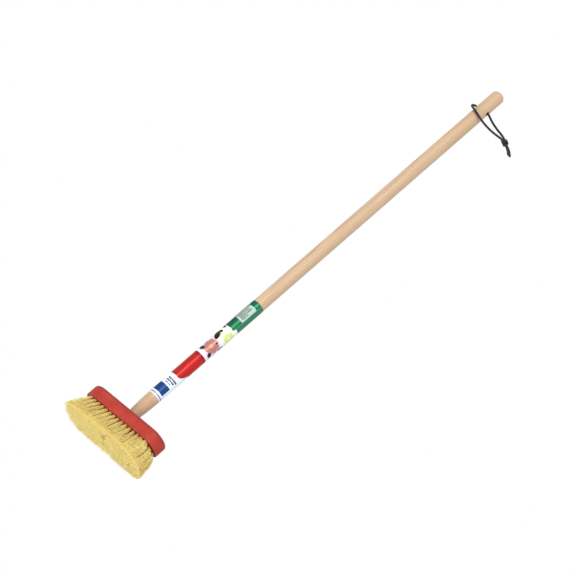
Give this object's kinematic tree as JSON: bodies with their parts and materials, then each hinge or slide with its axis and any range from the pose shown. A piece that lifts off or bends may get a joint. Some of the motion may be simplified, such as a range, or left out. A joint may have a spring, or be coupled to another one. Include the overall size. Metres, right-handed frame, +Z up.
{
  "type": "push broom",
  "caption": "Small push broom: a round wooden handle stands square on a red oval block with flared cream bristles, and a knotted black hanging cord runs through its top.",
  "frame": {"origin": "middle of the plane of the bristle tips", "axes": "+Z up the handle, +X along the block, -Y is the side with the price sticker"},
  "size_m": [0.1964, 0.083, 0.93],
  "materials": {
    "handle_wood": "planed, thin clear coat",
    "red_lacquer": "red lacquer over wood, satin",
    "bristle": "cream natural fibre",
    "anchor_wire": "drawn wire",
    "screw_steel": "zinc plated",
    "label_film": "printed shrink film",
    "sticker_paper": "coated paper",
    "black_cord": "round braided cord"
  },
  "bodies": {
    "broom": {"handle": "handle_wood", "brush_block": "red_lacquer", "handle_screw": "screw_steel", "tufts_row_1": "bristle", "tufts_row_2": "bristle", "tufts_row_3": "bristle", "tufts_row_4": "bristle", "tufts_row_5": "bristle", "tuft_anchors_row_1": "anchor_wire", "tuft_anchors_row_2": "anchor_wire", "tuft_anchors_row_3": "anchor_wire", "tuft_anchors_row_4": "anchor_wire", "tuft_anchors_row_5": "anchor_wire", "label_sleeve": "label_film", "price_sticker": "sticker_paper"},
    "hang_loop": {"cord_in_hole": "black_cord", "cord_leg_back": "black_cord", "cord_leg_front": "black_cord", "cord_knot": "black_cord", "cord_tail_a": "black_cord", "cord_tail_b": "black_cord"}
  },
  "joints": [
    {"name": "hang_swing", "type": "hinge", "parent": "broom", "child": "hang_loop", "pos_m": [0, 0, 0.885], "axis": [-1, 0, 0], "range_deg": [0, 90]}
  ]
}
